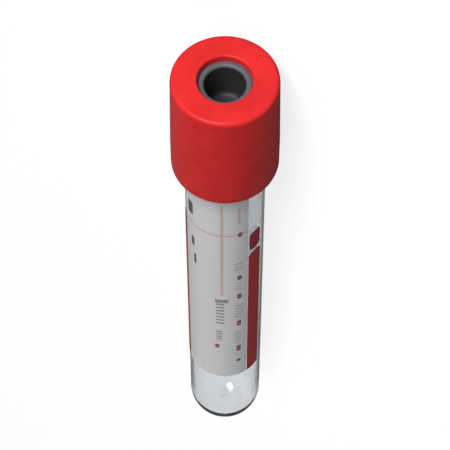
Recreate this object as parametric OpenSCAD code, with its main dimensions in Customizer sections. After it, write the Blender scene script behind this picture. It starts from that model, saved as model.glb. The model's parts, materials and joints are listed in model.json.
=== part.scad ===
// Blood collection tube: a moulded clear tube, a rubber stopper held in a safety cap, a film label.
// Each piece is drawn upright, with the round bottom at z = 0 and the mouth up. lay_down() then puts
// it on its side as an unheld tube comes to rest, on the round bottom and the cap's lower edge.

/* [Tube] */
// Outside diameter of the tube below the cap
tube_d = 12.8; // [10:0.2:17]
// Length from the round bottom to the mouth
tube_len = 100; // [70:1:130]
// Outside draft under the cap, by which the mouth is wider than the rest, on the radius
mouth_draft = 0.1; // [0.05:0.05:0.2]
// Wall at the mouth
tube_wall = 1; // [0.8:0.1:1.4]
// Thickness of the round bottom at its pole
bottom_wall = 1.4; // [1.1:0.1:2]
// Loss of bore diameter from the mouth to the bottom, which lets the core out of the mould
bore_draft = 0.4; // [0.1:0.1:0.8]
// Rounding of the mouth's two edges
mouth_round = 0.3; // [0.1:0.05:0.35]
// Diameter of the gate mark at the pole
gate_d = 2; // [1:0.2:3]
// Depth of the gate mark
gate_depth = 0.25; // [0.1:0.05:0.5]

/* [Stopper] */
// Length of the plug in the mouth
plug_len = 9; // [7:0.5:12]
// Sealing ribs round the plug
rib_count = 3; // [2:1:4]
// Height of a sealing rib above the plug
rib_h = 0.22; // [0.1:0.02:0.4]
// Running clearance between the sealing ribs and the bore, on the radius
plug_gap = 0.04; // [0.02:0.01:0.08]
// Wall of the plug round the hollow in its underside
plug_wall = 1.8; // [1.2:0.1:2.4]
// Depth of that hollow
hollow_depth = 4; // [2:0.5:5]
// Rubber left between the hollow and the floor of the needle well
septum = 3.2; // [2:0.2:5]
// Reach of the head past the mouth's outside, on the radius
head_over = 0.45; // [0.35:0.05:0.8]
// Wall of the lip that rises round the well into the cap's hole
lip_wall = 0.95; // [0.5:0.05:1.2]
// Depth of the lip below the cap's top
lip_recess = 1.1; // [0.2:0.1:1.2]
// Rounding of the well's mouth inside the lip
well_mouth = 0.5; // [0.2:0.1:0.6]

/* [Cap] */
// Height of the cap
cap_h = 21.5; // [17:0.5:28]
// Height of the cap's top above the mouth
cap_rise = 6; // [4.5:0.5:9]
// Thickness of the cap's top
cap_top = 1.3; // [1:0.1:2]
// Diameter of the hole over the needle well
hole_d = 8.4; // [7:0.2:9.6]
// Space between the skirt and the mouth's outside
skirt_gap = 0.7; // [0.6:0.05:1]
// Wall of the skirt at its lower edge
skirt_wall = 1.3; // [1:0.1:2]
// Height of the straight band at the skirt's lower edge, which a tube holder guides
band_h = 6; // [3:0.5:10]
// How much the cap narrows from that band to its top, on the radius
cap_taper = 0.25; // [0.05:0.05:0.5]
// Rounding of the top's outer edge
top_round = 0.7; // [0.3:0.1:1.1]
// Rounding of the hole's edge and of the skirt's lower edge
edge_round = 0.3; // [0.1:0.05:0.4]
// Guide ribs inside the skirt
guide_count = 12; // [6:1:18]
// Width of a guide rib
guide_w = 0.7; // [0.5:0.1:1]
// Clearance between the guide ribs and the mouth's outside, on the radius
guide_gap = 0.1; // [0.05:0.05:0.3]

/* [Label] */
// Thickness of the film
film_t = 0.08; // [0.06:0.02:0.2]
// Thickness of the adhesive under the film
glue_t = 0.02; // [0.01:0.01:0.04]
// Space between the skirt and the label
label_gap = 1; // [0.3:0.1:4]
// Bare stretch of tube between the label and the round bottom
bare_len = 15.5; // [8:0.5:30]
// How far the label goes round the tube, in degrees
label_wrap = 324; // [180:1:350]
// Where the label starts, in degrees from the tube's lowest line before it rolls
label_turn = 0; // [-180:1:180]

/* [Rest] */
// How far the tube rolls about its axis before it comes to rest, in degrees
roll = 18; // [0:1:359]

/* [Hidden] */
$fn = 96;
cut = 1;                                // how far a cutter runs past what it cuts

tube_r = tube_d / 2;
mouth_r = tube_r + mouth_draft;
bore_r = mouth_r - tube_wall;
inner_r = bore_r - bore_draft / 2;      // bore at the bottom

cap_z = tube_len + cap_rise;
plate_z = cap_z - cap_top;              // underside of the cap's top
skirt_z = cap_z - cap_h;
hole_r = hole_d / 2;
skirt_bore_r = mouth_r + skirt_gap;
cap_r = skirt_bore_r + skirt_wall;
cap_top_r = cap_r - cap_taper;
mouth_lead = 0.4;                       // the skirt's bore opens this much at its lower edge

plug_z = tube_len - plug_len;
plug_r = bore_r - plug_gap;
core_r = plug_r - rib_h;
plug_lead = 0.8;                        // chamfer that leads the plug into the mouth
hollow_r = core_r - plug_wall;
hollow_z = plug_z + hollow_depth;
hollow_dome = 1;
head_r = mouth_r + head_over;
head_gap = 0.05;                        // between the head and the cap's pocket
head_round = 0.4;
lip_gap = 0.1;                          // between the lip and the cap's hole
lip_r = hole_r - lip_gap;
lip_z = cap_z - lip_recess;
lip_round = 0.3;
well_r = lip_r - lip_wall;
well_z = hollow_z + septum;
well_draft = 0.12;                      // the well narrows this much to its floor, on the radius
well_round = 0.8;

bead_r = (mouth_r + head_r) / 2;        // ring in the cap that holds the stopper's head from below
bead_h = 0.6;
bead_z = tube_len - bead_h - (skirt_bore_r - bead_r);

label_z = tube_r + bare_len;            // the label's lower edge
label_len = skirt_z - label_gap - label_z;

// Lying down, the axis tilts by what the cap's lower edge is wider than the round bottom.
rest_d = skirt_z + edge_round - tube_r;
rest_r = cap_r - edge_round;
tilt = atan(rest_r / rest_d) - asin((tube_r - edge_round) / norm([rest_d, rest_r]));
gate_edge_z = tube_r - sqrt(pow(tube_r, 2) - pow(gate_d / 2, 2));
back_y = gate_d / 2 * sin(tilt) - gate_edge_z * cos(tilt);
front_y = -(cap_z - top_round) * cos(tilt) - (cap_top_r - top_round) * sin(tilt) - top_round;

module lay_down()
    translate([0, -(front_y + back_y) / 2, tube_r * (1 - sin(tilt))])
        rotate([90 - tilt, 0, 0]) rotate(roll) children();

// A band of the half plane beside the axis, from z0 to z1.
module band(r, z0, z1) translate([0, z0]) square([r, z1 - z0]);

// What rounding takes off the rim of a hole of radius r that opens upwards at z.
module rounded_rim(r, z, rounding)
    difference() {
        band(r + rounding, z - rounding, z + cut);
        translate([r + rounding, z - rounding]) circle(rounding);
    }

module tube_outline()
    difference() {
        union() {
            intersection() {
                translate([0, tube_r]) circle(tube_r);
                band(tube_r + cut, -cut, tube_r);
            }
            polygon([
                [0, tube_r], [tube_r, tube_r], [tube_r, skirt_z],
                [mouth_r, tube_len - mouth_round], [0, tube_len - mouth_round]
            ]);
            band(mouth_r - mouth_round, skirt_z, tube_len);
            translate([mouth_r - mouth_round, tube_len - mouth_round]) circle(mouth_round);
        }
        intersection() {
            translate([0, bottom_wall + inner_r]) circle(inner_r);
            band(inner_r + cut, 0, bottom_wall + inner_r);
        }
        polygon([
            [0, bottom_wall + inner_r], [inner_r, bottom_wall + inner_r], [bore_r, plug_z - cut],
            [bore_r, tube_len + cut], [0, tube_len + cut]
        ]);
        rounded_rim(bore_r, tube_len, mouth_round);
    }

module tube()
    color([0.80, 0.85, 0.87, 0.5]) lay_down() difference() {
        rotate_extrude() tube_outline();
        translate([0, 0, -cut]) cylinder(h = gate_depth + cut, d = gate_d);
    }

module stopper_outline() {
    pitch = (plug_len - plug_lead) / rib_count;
    nose = 0.9;
    difference() {
        union() {
            polygon([
                [0, plug_z], [core_r - plug_lead, plug_z], [core_r, plug_z + plug_lead],
                [core_r, tube_len + cut], [0, tube_len + cut]
            ]);
            for (i = [0 : rib_count - 1])
                translate([plug_r - nose, plug_z + plug_lead + (i + 0.5) * pitch]) circle(nose);
            band(head_r, tube_len, plate_z - head_round);
            band(head_r - head_round, tube_len, plate_z);
            translate([head_r - head_round, plate_z - head_round]) circle(head_round);
            band(lip_r, plate_z - head_round, lip_z - lip_round);
            band(lip_r - lip_round, plate_z - head_round, lip_z);
            translate([lip_r - lip_round, lip_z - lip_round]) circle(lip_round);
        }
        well_outline();
        rounded_rim(well_r, lip_z, well_mouth);
        hollow_outline();
    }
}

module well_outline() {
    floor_r = well_r - well_draft;
    band(floor_r - well_round, well_z, well_z + well_round);
    translate([floor_r - well_round, well_z + well_round]) circle(well_round);
    polygon([
        [0, well_z + well_round], [floor_r, well_z + well_round], [well_r, plate_z - cut],
        [well_r, lip_z + cut], [0, lip_z + cut]
    ]);
}

module hollow_outline() {
    dome_r = (pow(hollow_r, 2) + pow(hollow_dome, 2)) / (2 * hollow_dome);
    band(hollow_r, plug_z - cut, hollow_z - hollow_dome);
    intersection() {
        translate([0, hollow_z - dome_r]) circle(dome_r);
        band(hollow_r, hollow_z - hollow_dome, hollow_z + cut);
    }
}

module stopper()
    color([0.16, 0.16, 0.17]) lay_down() rotate_extrude() stopper_outline();

module cap_outline()
    difference() {
        union() {
            band(cap_r - edge_round, skirt_z, skirt_z + cut);
            translate([cap_r - edge_round, skirt_z + edge_round]) circle(edge_round);
            polygon([
                [0, skirt_z + edge_round], [cap_r, skirt_z + edge_round], [cap_r, skirt_z + band_h],
                [cap_top_r, cap_z - top_round], [0, cap_z - top_round]
            ]);
            translate([cap_top_r - top_round, cap_z - top_round]) circle(top_round);
            band(cap_top_r - top_round, cap_z - top_round - cut, cap_z);
        }
        cap_hollow_outline();
        rounded_rim(hole_r, cap_z, edge_round);
    }

// From the skirt's lower edge upwards: lead-in, bore, ramp, bead, the head's pocket and the hole.
module cap_hollow_outline()
    polygon([
        [0, skirt_z - cut], [skirt_bore_r + mouth_lead, skirt_z - cut],
        [skirt_bore_r + mouth_lead, skirt_z], [skirt_bore_r, skirt_z + 2 * mouth_lead],
        [skirt_bore_r, bead_z], [bead_r, tube_len - bead_h], [bead_r, tube_len],
        [head_r + head_gap, tube_len], [head_r + head_gap, plate_z],
        [hole_r, plate_z], [hole_r, cap_z + cut], [0, cap_z + cut]
    ]);

// A guide rib stands on the skirt's inside, with a ramp at its lower end for the tube to slide up.
module guide_rib() {
    low = skirt_z + 3 * mouth_lead;
    root = 0.3;
    rotate([90, 0, 0]) linear_extrude(guide_w, center = true) polygon([
        [skirt_bore_r + root, low], [skirt_bore_r, low], [mouth_r + guide_gap, low + 2 * skirt_gap],
        [mouth_r + guide_gap, bead_z], [skirt_bore_r + root, bead_z]
    ]);
}

module cap()
    color([0.86, 0.10, 0.11]) lay_down() {
        rotate_extrude() cap_outline();
        for (i = [0 : guide_count - 1]) rotate(i * 360 / guide_count) guide_rib();
    }

module label()
    color([0.93, 0.94, 0.95]) lay_down()
        rotate(label_turn - 90) rotate_extrude(angle = label_wrap)
            translate([tube_r + glue_t, label_z]) square([film_t, label_len]);

tube();
stopper();
cap();
label();
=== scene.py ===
import bpy, json, math
from mathutils import Matrix, Vector


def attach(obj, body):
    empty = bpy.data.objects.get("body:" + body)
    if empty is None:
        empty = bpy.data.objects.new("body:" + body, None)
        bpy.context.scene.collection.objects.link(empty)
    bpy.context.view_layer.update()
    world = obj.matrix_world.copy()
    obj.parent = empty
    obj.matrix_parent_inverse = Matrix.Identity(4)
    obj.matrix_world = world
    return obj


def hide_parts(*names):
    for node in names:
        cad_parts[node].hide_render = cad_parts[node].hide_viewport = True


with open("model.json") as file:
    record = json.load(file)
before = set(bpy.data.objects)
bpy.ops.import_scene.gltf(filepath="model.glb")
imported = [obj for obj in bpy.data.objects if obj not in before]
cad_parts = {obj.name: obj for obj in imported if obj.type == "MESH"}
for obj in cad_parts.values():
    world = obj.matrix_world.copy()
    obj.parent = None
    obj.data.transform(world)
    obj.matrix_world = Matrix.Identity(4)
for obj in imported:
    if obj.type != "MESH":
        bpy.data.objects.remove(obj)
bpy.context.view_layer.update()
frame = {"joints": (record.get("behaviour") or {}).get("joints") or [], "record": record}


# ---- Tube ----
# The tube is one clear PET moulding: a round bottom with a gate mark at its pole, a bore that narrows
# toward it, and a slightly wider mouth. Core and cavity leave faint drawn lines along the wall, and the
# bore has the thin haze of its spray coating. Each piece is drawn upright in mm and then laid down.
mounts = {mount["name"]: mount for mount in frame["record"]["mounts"]}
tube_r = mounts["tube_outside"]["dims"]["r_mm"]
tube_len = 100
wall = 1.0                                     # at the mouth
bottom_wall = 1.4                              # at the pole
mouth_draft = 0.1                              # how much wider the mouth is, on the radius
bore_draft = 0.2                               # how much the bore narrows to the bottom, on the radius
narrow_below = 1                               # it narrows from this far below the plug
mouth_round = 0.3
gate_r = 1.0
gate_depth = 0.25
plug_len = 9                                   # of the stopper, in the mouth
cap_rise = 6                                   # the cap's top above the mouth
cap_h = 21.5

mouth_r = tube_r + mouth_draft
bore_r = mouth_r - wall
bottom_r = bore_r - bore_draft                 # the bore at the round bottom
bottom_z = bottom_wall + bottom_r              # where the bore's round bottom starts
plug_z = tube_len - plug_len                   # the stopper's lower edge
cap_z = tube_len + cap_rise                    # the cap's top
skirt_z = cap_z - cap_h                        # the cap's lower edge

axis = Vector(frame["joints"][0]["axis"])      # from the round bottom to the cap
pole = Vector(mounts["cap_top"]["pos_m"]) * 1000 - axis * cap_z
turn_down = math.radians(90) - math.atan2(axis.z, -axis.y)      # from upright to lying
roll = math.radians(18)                        # how far the tube rolled as it came to rest
lying = (Matrix.Translation(pole) @ Matrix.Rotation(turn_down, 4, "X")
         @ Matrix.Rotation(roll, 4, "Z"))


def start_outline(name, r, z):
    """A new object in edit mode with a single point, the first of an outline in the half plane Y = 0."""
    bpy.ops.object.select_all(action="DESELECT")
    bpy.ops.mesh.primitive_plane_add(size=1)
    piece = bpy.context.object
    piece.name = piece.data.name = name
    bpy.ops.object.mode_set(mode="EDIT")
    bpy.ops.mesh.select_mode(type="VERT")
    bpy.ops.mesh.select_all(action="SELECT")
    bpy.ops.mesh.merge(type="CENTER")
    bpy.ops.transform.translate(value=(r, 0, z))
    return piece


def draw_lines(*points):
    """Straight edges from the outline's end through each (radius, height)."""
    for r, z in points:
        bpy.context.object.update_from_editmode()
        end = next(v.co.copy() for v in bpy.context.object.data.vertices if v.select)
        bpy.ops.mesh.extrude_vertices_move(TRANSFORM_OT_translate={"value": (r - end.x, 0, z - end.z)})


def draw_arc(r, z, degrees, steps=8):
    """An arc from the outline's end round the centre (r, z); positive degrees turn from -Z to +X."""
    bpy.ops.mesh.spin(steps=steps, angle=math.radians(degrees), center=(r, 0, z), axis=(0, 1, 0))


def turn_outline(steps):
    """The whole outline turned about the tube's axis, its seam merged and its faces set outward."""
    bpy.ops.mesh.select_all(action="SELECT")
    bpy.ops.mesh.spin(steps=steps, angle=math.radians(360), center=(0, 0, 0), axis=(0, 0, 1))
    bpy.ops.mesh.select_all(action="SELECT")
    bpy.ops.mesh.remove_doubles(threshold=0.001)
    bpy.ops.mesh.normals_make_consistent(inside=False)
    bpy.ops.object.mode_set(mode="OBJECT")


def lay_down(piece, sharp_from=40):
    """From upright mm to its place on the table in metres, with smooth shading up to the given angle."""
    piece.matrix_world = Matrix.Scale(0.001, 4) @ lying
    bpy.ops.object.select_all(action="DESELECT")
    piece.select_set(True)
    bpy.context.view_layer.objects.active = piece
    bpy.ops.object.transform_apply(location=True, rotation=True, scale=True)
    bpy.ops.object.shade_smooth_by_angle(angle=math.radians(sharp_from))


gate_turn = math.asin(gate_r / tube_r)         # the gate mark's edge, as a turn from the pole
tube = start_outline("tube_wall", 0, gate_depth)
draw_lines((gate_r, gate_depth), (gate_r, tube_r * (1 - math.cos(gate_turn))))
draw_arc(0, tube_r, 90 - math.degrees(gate_turn), steps=26)
draw_lines((tube_r, skirt_z), (mouth_r, tube_len - mouth_round))
draw_arc(mouth_r - mouth_round, tube_len - mouth_round, 90)
draw_lines((bore_r + mouth_round, tube_len))
draw_arc(bore_r + mouth_round, tube_len - mouth_round, 90)
draw_lines((bore_r, plug_z - narrow_below), (bottom_r, bottom_z))
draw_arc(0, bottom_z, -90, steps=24)
turn_outline(steps=160)
lay_down(tube)


def new_finish(name):
    """A material with its shader and its nodes, and the tube's own upright coordinates in metres."""
    finish = bpy.data.materials.new(name)
    finish.use_nodes = True
    nodes, links = finish.node_tree.nodes, finish.node_tree.links
    place, upright = nodes.new("ShaderNodeTexCoord"), nodes.new("ShaderNodeMapping")
    upright.vector_type = "TEXTURE"
    upright.inputs["Location"].default_value = pole / 1000
    upright.inputs["Rotation"].default_value = (turn_down, 0, 0)
    links.new(place.outputs["Object"], upright.inputs["Vector"])
    return finish, nodes, links, nodes["Principled BSDF"], upright.outputs["Vector"]


def add_noise(nodes, links, vector, scale, detail=3.0, stretch=None):
    """Noise on those coordinates; stretch makes it longer along the axis."""
    if stretch:
        drawn = nodes.new("ShaderNodeMapping")
        drawn.inputs["Scale"].default_value = (1, 1, 1 / stretch)
        links.new(vector, drawn.inputs["Vector"])
        vector = drawn.outputs["Vector"]
    noise = nodes.new("ShaderNodeTexNoise")
    noise.inputs["Scale"].default_value = scale
    noise.inputs["Detail"].default_value = detail
    links.new(vector, noise.inputs["Vector"])
    return noise.outputs["Fac"]


def add_range(nodes, links, value, low, high, start=0.3, end=0.7):
    """The value spread between low and high."""
    spread = nodes.new("ShaderNodeMapRange")
    spread.inputs["From Min"].default_value, spread.inputs["From Max"].default_value = start, end
    spread.inputs["To Min"].default_value, spread.inputs["To Max"].default_value = low, high
    links.new(value, spread.inputs["Value"])
    return spread.outputs["Result"]


def add_tint(nodes, links, value, one, other):
    """A colour between the two, by the value."""
    ramp = nodes.new("ShaderNodeValToRGB")
    ramp.color_ramp.elements[0].position, ramp.color_ramp.elements[1].position = 0.35, 0.65
    ramp.color_ramp.elements[0].color = (*one, 1)
    ramp.color_ramp.elements[1].color = (*other, 1)
    links.new(value, ramp.inputs["Fac"])
    return ramp.outputs["Color"]


def add_bump(nodes, links, height, distance, over=None):
    """Fine relief from the height, that deep in metres, over any coarser one."""
    bump = nodes.new("ShaderNodeBump")
    bump.inputs["Distance"].default_value = distance
    links.new(height, bump.inputs["Height"])
    if over:
        links.new(over, bump.inputs["Normal"])
    return bump.outputs["Normal"]


clear_pet, nodes, links, shader, upright = new_finish("clear_pet")
drawn_lines = add_noise(nodes, links, upright, 900, detail=2.0, stretch=30)
haze = add_noise(nodes, links, upright, 420, detail=4.0)
clear = add_tint(nodes, links, haze, (0.78, 0.80, 0.815), (0.85, 0.865, 0.875))
links.new(clear, shader.inputs["Base Color"])
links.new(add_range(nodes, links, haze, 0.02, 0.07), shader.inputs["Roughness"])
links.new(add_bump(nodes, links, drawn_lines, distance=0.00001), shader.inputs["Normal"])
shader.inputs["Transmission Weight"].default_value = 1.0
shader.inputs["IOR"].default_value = 1.57
# Lamps shine through the clear wall, so what stands behind it is lit as it is through the real one.
rays = nodes.new("ShaderNodeLightPath")
passed = nodes.new("ShaderNodeBsdfTransparent")
passed.inputs["Color"].default_value = (0.90, 0.915, 0.92, 1)
by_ray = nodes.new("ShaderNodeMixShader")
links.new(rays.outputs["Is Shadow Ray"], by_ray.inputs["Fac"])
links.new(shader.outputs["BSDF"], by_ray.inputs[1])
links.new(passed.outputs["BSDF"], by_ray.inputs[2])
links.new(by_ray.outputs["Shader"], nodes["Material Output"].inputs["Surface"])
tube.data.materials.append(clear_pet)
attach(tube, "tube_body")
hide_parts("tube")


# ---- Stopper ----
# The stopper is moulded in grey butyl rubber. Three sealing ribs round its plug close the mouth, its
# head rests on the mouth's rim, and a lip rises round the needle well into the hole of the cap.
plug_gap = 0.04                                # between the sealing ribs and the bore
plug_lead = 0.8                                # the chamfer that leads the plug into the mouth
plug_wall = 1.8                                # round the hollow in its underside
seal_count = 3
seal_h = 0.22
seal_nose = 0.9                                # the radius of a sealing rib's own outline
hollow_depth = 4
hollow_dome = 1
septum = 3.2                                   # the rubber between the hollow and the well's floor
head_over = 0.45                               # how far the head reaches past the mouth
head_round = 0.4
cap_top = 1.3                                  # thickness of the cap's top, which lies on the head
lip_r = 4.1
lip_wall = 0.95
lip_recess = 1.1                               # how far the lip is below the cap's top
lip_round = 0.3
well_mouth = 0.5                               # rounding of the well's mouth
well_round = 0.8                               # and of its floor
well_draft = 0.12                              # how much it narrows to its floor, on the radius
straight_below = 1                             # it narrows from this far below the head's top

plug_r = bore_r - plug_gap                     # the sealing ribs' crests
core_r = plug_r - seal_h                       # the plug between them
hollow_r = core_r - plug_wall
hollow_z = plug_z + hollow_depth
dome_r = (hollow_r ** 2 + hollow_dome ** 2) / (2 * hollow_dome)
head_r = mouth_r + head_over
head_z = cap_z - cap_top
lip_z = cap_z - lip_recess
well_r = lip_r - lip_wall
floor_r = well_r - well_draft
floor_z = hollow_z + septum

stopper = start_outline("butyl_stopper", 0, hollow_z)
draw_arc(0, hollow_z - dome_r, -math.degrees(math.asin(hollow_r / dome_r)))
draw_lines((hollow_r, plug_z), (core_r - plug_lead, plug_z), (core_r, plug_z + plug_lead))
nose_turn = math.acos((core_r - plug_r + seal_nose) / seal_nose)
seal_pitch = (tube_len - plug_z - plug_lead) / seal_count
for number in range(seal_count):
    middle = plug_z + plug_lead + (number + 0.5) * seal_pitch
    draw_lines((core_r, middle - seal_nose * math.sin(nose_turn)))
    draw_arc(plug_r - seal_nose, middle, 2 * math.degrees(nose_turn))
draw_lines((core_r, tube_len), (head_r, tube_len), (head_r, head_z - head_round))
draw_arc(head_r - head_round, head_z - head_round, 90, steps=6)
lip_turn = math.asin((head_z - lip_z + lip_round) / lip_round)  # where its rounding leaves the head
draw_lines((lip_r - lip_round * (1 - math.cos(lip_turn)), head_z))
draw_arc(lip_r - lip_round, lip_z - lip_round, 90 - math.degrees(lip_turn), steps=6)
draw_lines((well_r + well_mouth, lip_z))
draw_arc(well_r + well_mouth, lip_z - well_mouth, 90)
draw_lines((well_r, head_z - straight_below), (floor_r, floor_z + well_round))
draw_arc(floor_r - well_round, floor_z + well_round, -90)
draw_lines((0, floor_z))
turn_outline(steps=128)
lay_down(stopper, sharp_from=50)


def laid_over(nodes, links, below, above, mask):
    """One colour over another where the mask is 1, each three numbers or a node's output."""
    mix = nodes.new("ShaderNodeMix")
    mix.data_type = "RGBA"
    links.new(mask, mix.inputs["Factor"])
    for colour, socket in ((below, mix.inputs[6]), (above, mix.inputs[7])):
        if isinstance(colour, tuple):
            socket.default_value = (*colour, 1)
        else:
            links.new(colour, socket)
    return mix.outputs[2]


grey_rubber, nodes, links, shader, upright = new_finish("grey_butyl_rubber")
cloud = add_noise(nodes, links, upright, 500, detail=4.0)
grain = add_noise(nodes, links, upright, 9000)
split = nodes.new("ShaderNodeSeparateXYZ")
links.new(upright, split.inputs[0])
height = split.outputs["Z"]
# From the well's floor up the rubber is painted darker, as painted shade for the deep well. The lip's top
# is paler: partly bloom, partly a painted highlight for the light the lip's top catches.
well_painted_shade = add_range(nodes, links, height, 0, 1, start=(floor_z - 0.7) / 1000, end=(floor_z + 0.3) / 1000)
# Partly bloom, partly painted highlight: where the lip's top is made paler.
lip_bloom_and_highlight = add_range(nodes, links, height, 0, 1, start=(lip_z - 0.5) / 1000, end=(lip_z - 0.15) / 1000)
grey = add_tint(nodes, links, cloud, (0.052, 0.052, 0.056), (0.074, 0.073, 0.078))
# Painted shade: the darker rubber laid over from the well's floor up.
grey = laid_over(nodes, links, grey, (0.030, 0.030, 0.032), well_painted_shade)
# Partly bloom, partly painted highlight: the paler lip top laid over.
grey = laid_over(nodes, links, grey, (0.105, 0.114, 0.125), lip_bloom_and_highlight)
links.new(grey, shader.inputs["Base Color"])
links.new(add_range(nodes, links, grain, 0.44, 0.58), shader.inputs["Roughness"])
links.new(add_bump(nodes, links, grain, distance=0.00002), shader.inputs["Normal"])
shader.inputs["Specular IOR Level"].default_value = 0.3
stopper.data.materials.append(grey_rubber)
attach(stopper, "closure")
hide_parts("stopper")


# ---- Cap ----
# The safety cap is moulded in red polyethylene: a straight band at the lower edge, a slight taper to the
# rounded top, and a hole over the needle well. Inside, a bead holds the stopper's head from below and
# twelve ribs with ramped ends guide the tube's mouth.
cap_r = mounts["cap_band"]["dims"]["r_mm"]
cap_taper = 0.25                               # from the band to the top, on the radius
band_h = 6
top_round = 0.7
edge_round = 0.3                               # of the hole and of the lower edge
lip_gap = 0.1                                  # between the lip and the hole
skirt_gap = 0.7                                # between the mouth and the skirt
skirt_lead = 0.4                               # the skirt opens this much at its lower edge
head_gap = 0.05                                # between the head and its pocket
bead_h = 0.6
guide_count = 12
guide_w = 0.7
guide_gap = 0.1                                # between the mouth and a guide rib
guide_root = 0.3                               # how deep its root is sunk in the skirt's wall
guide_slope = 7 / 3                            # how steeply its lower end rises toward the axis
guide_rise = 0.5                               # that end above the skirt's lower edge

cap_top_r = cap_r - cap_taper
band_z = skirt_z + band_h
hole_r = lip_r + lip_gap
skirt_r = mouth_r + skirt_gap
pocket_r = head_r + head_gap
bead_r = (mouth_r + head_r) / 2
bead_z = tube_len - bead_h
ramp_z = bead_z - (skirt_r - bead_r)           # where the ramp up to the bead starts
guide_r = mouth_r + guide_gap
guide_z = skirt_z + guide_rise
root_r = skirt_r + guide_root

cap = start_outline("safety_cap", skirt_r + skirt_lead, skirt_z)
draw_lines((cap_r - edge_round, skirt_z))
draw_arc(cap_r - edge_round, skirt_z + edge_round, 90)
draw_lines((cap_r, band_z), (cap_top_r, cap_z - top_round))
draw_arc(cap_top_r - top_round, cap_z - top_round, 90, steps=12)
draw_lines((hole_r + edge_round, cap_z))
draw_arc(hole_r + edge_round, cap_z - edge_round, 90)
draw_lines((hole_r, head_z), (pocket_r, head_z), (pocket_r, tube_len), (bead_r, tube_len))
draw_lines((bead_r, bead_z), (skirt_r, ramp_z), (skirt_r, skirt_z + 2 * skirt_lead))
draw_lines((skirt_r + skirt_lead, skirt_z))
turn_outline(steps=160)

bpy.ops.object.select_all(action="DESELECT")
bpy.ops.mesh.primitive_cube_add(size=1, location=((guide_r + root_r) / 2, 0, (guide_z + ramp_z) / 2),
                                scale=(root_r - guide_r, guide_w, ramp_z - guide_z))
rib = bpy.context.object
bpy.ops.object.transform_apply(location=True, rotation=True, scale=True)
bpy.ops.object.mode_set(mode="EDIT")
bpy.ops.mesh.select_all(action="DESELECT")
bpy.ops.object.mode_set(mode="OBJECT")
for v in rib.data.vertices:
    v.select = v.co.x < skirt_r and v.co.z < band_z
bpy.ops.object.mode_set(mode="EDIT")
bpy.ops.transform.translate(value=(0, 0, (root_r - guide_r) * guide_slope))
bpy.ops.mesh.select_all(action="SELECT")
bpy.ops.mesh.bevel(offset=0.08, segments=2)
bpy.ops.object.mode_set(mode="OBJECT")
ribs = [rib]
guide_turn = math.radians(360 / guide_count)
for number in range(1, guide_count):
    bpy.ops.object.duplicate()
    bpy.ops.object.mode_set(mode="EDIT")
    bpy.ops.mesh.select_all(action="SELECT")
    bpy.ops.transform.rotate(value=guide_turn, orient_axis="Z", center_override=(0, 0, 0))
    bpy.ops.object.mode_set(mode="OBJECT")
    ribs.append(bpy.context.object)
for rib in ribs:
    rib.select_set(True)
bpy.ops.object.join()
grown = cap.modifiers.new("ribs", "BOOLEAN")
grown.operation, grown.solver, grown.object = "UNION", "EXACT", bpy.context.object
bpy.context.view_layer.objects.active = cap
bpy.ops.object.modifier_apply(modifier="ribs")
bpy.ops.object.delete()
lay_down(cap)

red_plastic, nodes, links, shader, upright = new_finish("red_polyethylene")
cloud = add_noise(nodes, links, upright, 260, detail=4.0)
grain = add_noise(nodes, links, upright, 7000, detail=2.0)
red = add_tint(nodes, links, cloud, (0.66, 0.021, 0.022), (0.74, 0.026, 0.027))
waves = add_bump(nodes, links, cloud, distance=0.00004)
links.new(red, shader.inputs["Base Color"])
links.new(add_range(nodes, links, grain, 0.34, 0.44), shader.inputs["Roughness"])
links.new(add_bump(nodes, links, grain, distance=0.000006, over=waves), shader.inputs["Normal"])
shader.inputs["Specular IOR Level"].default_value = 0.16
cap.data.materials.append(red_plastic)
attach(cap, "closure")
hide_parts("cap")


# ---- Label ----
# The label is a thin clear film glued round the tube. A white field for writing, two red bars and fine
# rules are printed on it, and the rest of the film stays clear, so that the contents can be seen.
glue_t = 0.02
film_t = 0.08
bare_len = 15.5                                # bare tube between the round bottom and the label
label_gap = 1                                  # between the label and the skirt
label_wrap = 324                               # degrees round the tube
film_r = tube_r + glue_t

label = start_outline("label_film", film_r, tube_r + bare_len)
draw_lines((film_r, skirt_z - label_gap))
bpy.ops.mesh.select_all(action="SELECT")
bpy.ops.mesh.spin(steps=144, angle=math.radians(label_wrap), center=(0, 0, 0), axis=(0, 0, 1))
bpy.ops.mesh.select_all(action="SELECT")
bpy.ops.transform.rotate(value=math.radians(90), orient_axis="Z", center_override=(0, 0, 0))
bpy.ops.object.mode_set(mode="OBJECT")
thickness = label.modifiers.new("film", "SOLIDIFY")
thickness.thickness, thickness.offset = film_t, 1
bpy.ops.object.modifier_apply(modifier="film")

zero_turn = 121.5                              # where the print's zero is round the tube, in degrees
break_turn = 130                               # where its map breaks, in the gap between the film's ends
zero_u = 0.65                                  # where the print's zero lies across its map
around = label.data.uv_layers.new(name="print")
for loop in label.data.loops:
    x, y, z = label.data.vertices[loop.vertex_index].co
    degrees = (math.degrees(math.atan2(y, x)) - zero_turn + 180) % 360 - 180
    if degrees > break_turn:
        degrees -= 360
    around.data[loop.index].uv = (degrees / 360 + zero_u, z / tube_len)
lay_down(label)

film, nodes, links, shader, upright = new_finish("printed_film")
mm_per_degree = math.radians(film_r + film_t)
sheet = nodes.new("ShaderNodeUVMap")
sheet.uv_map = "print"
in_mm = nodes.new("ShaderNodeMapping")         # mm round the tube from the print's zero, and mm up it
in_mm.inputs["Location"].default_value = (-zero_u * 360 * mm_per_degree, 0, 0)
in_mm.inputs["Scale"].default_value = (360 * mm_per_degree, tube_len, 1)
links.new(sheet.outputs["UV"], in_mm.inputs["Vector"])


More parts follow.
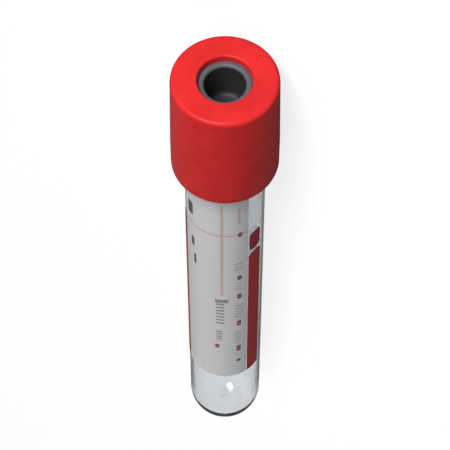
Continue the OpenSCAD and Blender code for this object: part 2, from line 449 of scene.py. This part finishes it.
def printed_box(left, right, low, high, corner=0.0, soft=0.03):
    """1 inside a printed box and 0 outside, from its sides in degrees round the tube and mm up it."""
    x0, x1 = left * mm_per_degree, right * mm_per_degree
    away = in_mm.outputs["Vector"]
    for operation, value in (("SUBTRACT", ((x0 + x1) / 2, (low + high) / 2, 0)), ("ABSOLUTE", None),
                             ("SUBTRACT", ((x1 - x0) / 2 - corner, (high - low) / 2 - corner, 0)),
                             ("MAXIMUM", (0, 0, 0)), ("LENGTH", None)):
        step = nodes.new("ShaderNodeVectorMath")
        step.operation = operation
        links.new(away, step.inputs[0])
        if value:
            step.inputs[1].default_value = value
        away = step.outputs["Value" if operation == "LENGTH" else "Vector"]
    return add_range(nodes, links, away, 1, 0, corner - soft / 2 + 0.005, corner + soft / 2 + 0.005)


def work_out(operation, one, other):
    """A value from one output and another, or from one and a number."""
    step = nodes.new("ShaderNodeMath")
    step.operation = operation
    links.new(one, step.inputs[0])
    if isinstance(other, float):
        step.inputs[1].default_value = other
    else:
        links.new(other, step.inputs[1])
    return step.outputs[0]


def together(*masks):
    """1 where any of the masks is 1."""
    joined = masks[0]
    for mask in masks[1:]:
        joined = work_out("MAXIMUM", joined, mask)
    return joined


def in_lines(box, pitch, line):
    """The box's mask broken into printed lines of that height, one for each pitch up the tube, in mm."""
    split = nodes.new("ShaderNodeSeparateXYZ")
    links.new(in_mm.outputs["Vector"], split.inputs[0])
    striped = work_out("LESS_THAN", work_out("MODULO", split.outputs["Y"], pitch), line)
    return work_out("MULTIPLY", striped, box)


white = printed_box(-76, 31, 21, 85)
bars = together(printed_box(33, 58, 10, 63.2, 1.0), printed_box(-103, -78, 10, 63.2, 1.0))
bar_tops = together(printed_box(34, 56, 64.2, 69.4, 0.8), printed_box(-101, -79, 64.2, 69.4, 0.8))
rules = together(printed_box(-11, -7, 51.8, 80.5, soft=0.1), printed_box(-72, 30, 71.1, 71.5, soft=0.1),
                 printed_box(14, 17.5, 74.8, 79.2, soft=0.1))
codes = together(in_lines(printed_box(-18, -5.5, 41.2, 50.2), 1.1, 0.5),
                 in_lines(printed_box(-18, -9, 35.4, 39.6), 0.9, 0.45),
                 printed_box(-19.5, 0.5, 49.2, 50.3))
marks = together(printed_box(-69, -57, 73.8, 77.4, 0.4),
                 printed_box(-61, -55, 64.4, 67.2, 0.3, soft=0.2),
                 printed_box(-56, -51.5, 59.0, 62.2, 0.2, soft=0.2))
texts = ((10, 23, 59.2, 62.4), (12, 21, 52.8, 55.4), (10, 24, 43.2, 48.4), (11, 22, 34.4, 38.6))
lines = together(*[in_lines(printed_box(*sides), 0.95, 0.36) for sides in texts])
dots = together(*[printed_box(14, 21, low, high, 0.3) for low, high in
                  ((70.4, 71.8), (56.4, 57.9), (50.0, 51.7), (40.4, 42.3), (31.0, 33.2), (27.0, 28.0))],
                printed_box(-20, -13, 32.8, 34.2, 0.3))
mottle = add_noise(nodes, links, in_mm.outputs["Vector"], 1.4)
ink = add_tint(nodes, links, mottle, (0.915, 0.90, 0.90), (0.95, 0.935, 0.935))
colour = laid_over(nodes, links, (0.75, 0.76, 0.77), ink, white)
for printed, tint in ((bars, (0.60, 0.018, 0.022)), (bar_tops, (0.42, 0.016, 0.030)),
                      (rules, (0.80, 0.30, 0.31)), (codes, (0.07, 0.07, 0.075)),
                      (marks, (0.11, 0.115, 0.12)), (lines, (0.38, 0.36, 0.37)),
                      (dots, (0.40, 0.06, 0.055))):
    colour = laid_over(nodes, links, colour, tint, printed)
solid_print = together(white, bars, bar_tops)
grain = add_noise(nodes, links, upright, 3000)
links.new(colour, shader.inputs["Base Color"])
links.new(add_range(nodes, links, solid_print, 0.10, 1.0, start=0, end=1), shader.inputs["Alpha"])
links.new(add_range(nodes, links, grain, 0.38, 0.52), shader.inputs["Roughness"])
links.new(add_bump(nodes, links, grain, distance=0.000004), shader.inputs["Normal"])
shader.inputs["Specular IOR Level"].default_value = 0.3
label.data.materials.append(film)
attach(label, "tube_body")
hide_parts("label")


# ---- Table, light and camera ----
# A plain pale table top, a broad soft lamp beyond the cap and above, and a weak even fill. The camera
# looks down the cap's end of the lying tube, as one looks down at such a tube in a rack.
bpy.ops.object.select_all(action="DESELECT")
table_z = -0.00003                             # in metres, just under the tube
bpy.ops.mesh.primitive_plane_add(size=6, location=(0, 0, table_z))
table = bpy.context.object
table.name = "table_top"
pale_table = bpy.data.materials.new("pale_table")
pale_table.use_nodes = True
paint = pale_table.node_tree.nodes["Principled BSDF"]
paint.inputs["Base Color"].default_value = (0.27, 0.27, 0.273, 1)
paint.inputs["Roughness"].default_value = 0.8
paint.inputs["Emission Color"].default_value = (1, 1, 1, 1)


def add_seen(tree, shown, glossy, otherwise):
    """A strength: what the camera and clear plastic show, what gloss shows, and what lights the piece."""
    rays = tree.nodes.new("ShaderNodeLightPath")
    through = tree.nodes.new("ShaderNodeMath")
    through.operation = "MAXIMUM"
    tree.links.new(rays.outputs["Is Camera Ray"], through.inputs[0])
    tree.links.new(rays.outputs["Is Transmission Ray"], through.inputs[1])
    gloss = add_range(tree.nodes, tree.links, rays.outputs["Is Glossy Ray"], otherwise, glossy, 0, 1)
    strength = tree.nodes.new("ShaderNodeMix")
    strength.inputs["B"].default_value = shown
    tree.links.new(through.outputs[0], strength.inputs["Factor"])
    tree.links.new(gloss, strength.inputs["A"])
    return strength.outputs["Result"]


tree = pale_table.node_tree
tree.links.new(add_seen(tree, shown=0.805, glossy=0, otherwise=0), paint.inputs["Emission Strength"])
table.data.materials.append(pale_table)

room = bpy.data.worlds.new("room")
bpy.context.scene.world = room
room.use_nodes = True
sky = room.node_tree.nodes["Background"]
sky.inputs["Color"].default_value = (0.97, 0.985, 1.0, 1)
tree = room.node_tree
tree.links.new(add_seen(tree, shown=1.0, glossy=0.20, otherwise=0.215), sky.inputs["Strength"])

soft_lamp = bpy.data.lights.new("soft_lamp", "AREA")
soft_lamp.size = 0.9
soft_lamp.energy = 37
lamp = bpy.data.objects.new("soft_lamp", soft_lamp)
bpy.context.scene.collection.objects.link(lamp)
lamp.location = (-0.02, -1.577, 0.866)
lamp.rotation_euler = (-lamp.location).to_track_quat("-Z", "Y").to_euler()

# The camera stands this far round the tube from above, and then out along the axis and beside it, in
# metres from the cap's top. The axis is upright in its picture.
eye_turn = math.radians(45)
eye_out = 0.252
eye_beside = 0.179
aim_z = 64.137
beside = Vector((-math.sin(eye_turn), 0, math.cos(eye_turn)))
eye = (pole + axis * cap_z) / 1000 + axis * eye_out + beside * eye_beside
aim = (pole + axis * aim_z) / 1000
look = (aim - eye).normalized()
right = look.cross(axis).normalized()
camera = bpy.data.objects.new("camera", bpy.data.cameras.new("camera"))
bpy.context.scene.collection.objects.link(camera)
facing_tube = Matrix((right, right.cross(look), -look)).transposed()
camera.matrix_world = Matrix.Translation(eye) @ facing_tube.to_4x4()
camera.data.sensor_width, camera.data.lens = 36, 168
camera.data.clip_start, camera.data.clip_end = 0.01, 10
bpy.context.scene.camera = camera
bpy.context.scene.view_settings.view_transform = "Standard"
